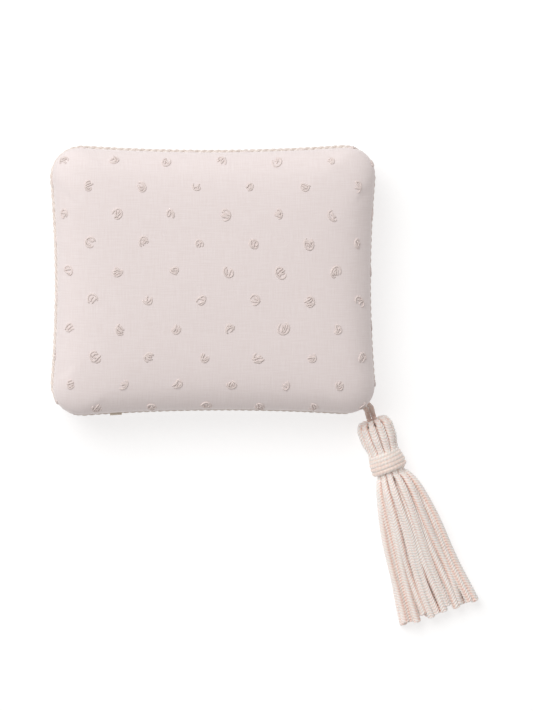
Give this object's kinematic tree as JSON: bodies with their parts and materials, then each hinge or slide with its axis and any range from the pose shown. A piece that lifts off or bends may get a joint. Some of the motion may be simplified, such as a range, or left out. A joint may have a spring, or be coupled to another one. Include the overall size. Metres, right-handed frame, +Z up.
{
  "type": "ring bearer pillow",
  "caption": "Small rectangular ring bearer pillow in dotted cloth with a twisted cord in its seam and a chainette tassel swinging from one corner.",
  "frame": {"origin": "centre of the flat patch of the back that the pillow rests on", "axes": "+X along the pillow's width towards the tassel's side, +Y along its height away from the tassel, +Z up through the front"},
  "size_m": [0.1693, 0.1903, 0.0344],
  "materials": {
    "cover_cloth": "matte",
    "lining_cloth": "matte",
    "fill": "matte",
    "edge_cord": "satin",
    "tape": "matte",
    "spot_thread": "matte",
    "sewing_thread": "satin",
    "tassel_yarn": "satin"
  },
  "bodies": {
    "pillow": {"front_cover": "cover_cloth", "back_cover": "cover_cloth", "front_lining": "lining_cloth", "back_lining": "lining_cloth", "fibre_fill": "fill", "edge_cord": "edge_cord", "cord_lip_tape": "tape", "front_spots": "spot_thread", "back_spots": "spot_thread", "seam_stitches": "sewing_thread", "closing_stitches": "sewing_thread", "cord_end_whipping": "edge_cord", "loop_tail": "tassel_yarn", "loop_tack_stitches": "sewing_thread"},
    "hanger": {"hanging_loop": "tassel_yarn"},
    "knot": {"loop_knot": "tassel_yarn"},
    "tassel": {"tassel_cord_01": "tassel_yarn", "tassel_cord_02": "tassel_yarn", "tassel_cord_03": "tassel_yarn", "tassel_cord_04": "tassel_yarn", "tassel_cord_05": "tassel_yarn", "tassel_cord_06": "tassel_yarn", "tassel_cord_07": "tassel_yarn", "tassel_cord_08": "tassel_yarn", "tassel_cord_09": "tassel_yarn", "tassel_cord_10": "tassel_yarn", "tassel_cord_11": "tassel_yarn", "tassel_cord_12": "tassel_yarn", "neck_wrap": "tassel_yarn"}
  },
  "joints": [
    {"name": "tassel_swing", "type": "hinge", "parent": "pillow", "child": "hanger", "pos_m": [0.0612, -0.05032, 0.0124], "axis": [0, 0, 1], "range_deg": [-24, 75]},
    {"name": "tassel_lift", "type": "hinge", "parent": "hanger", "child": "knot", "pos_m": [0.0622, -0.05315, 0.00715], "axis": [-0.9426, -0.3338, 0], "range_deg": [-90, 30]},
    {"name": "tassel_twist", "type": "hinge", "parent": "knot", "child": "tassel", "pos_m": [0.06263, -0.05437, 0.00715], "axis": [0.3338, -0.9426, 0], "range_deg": [-180, 180]}
  ]
}
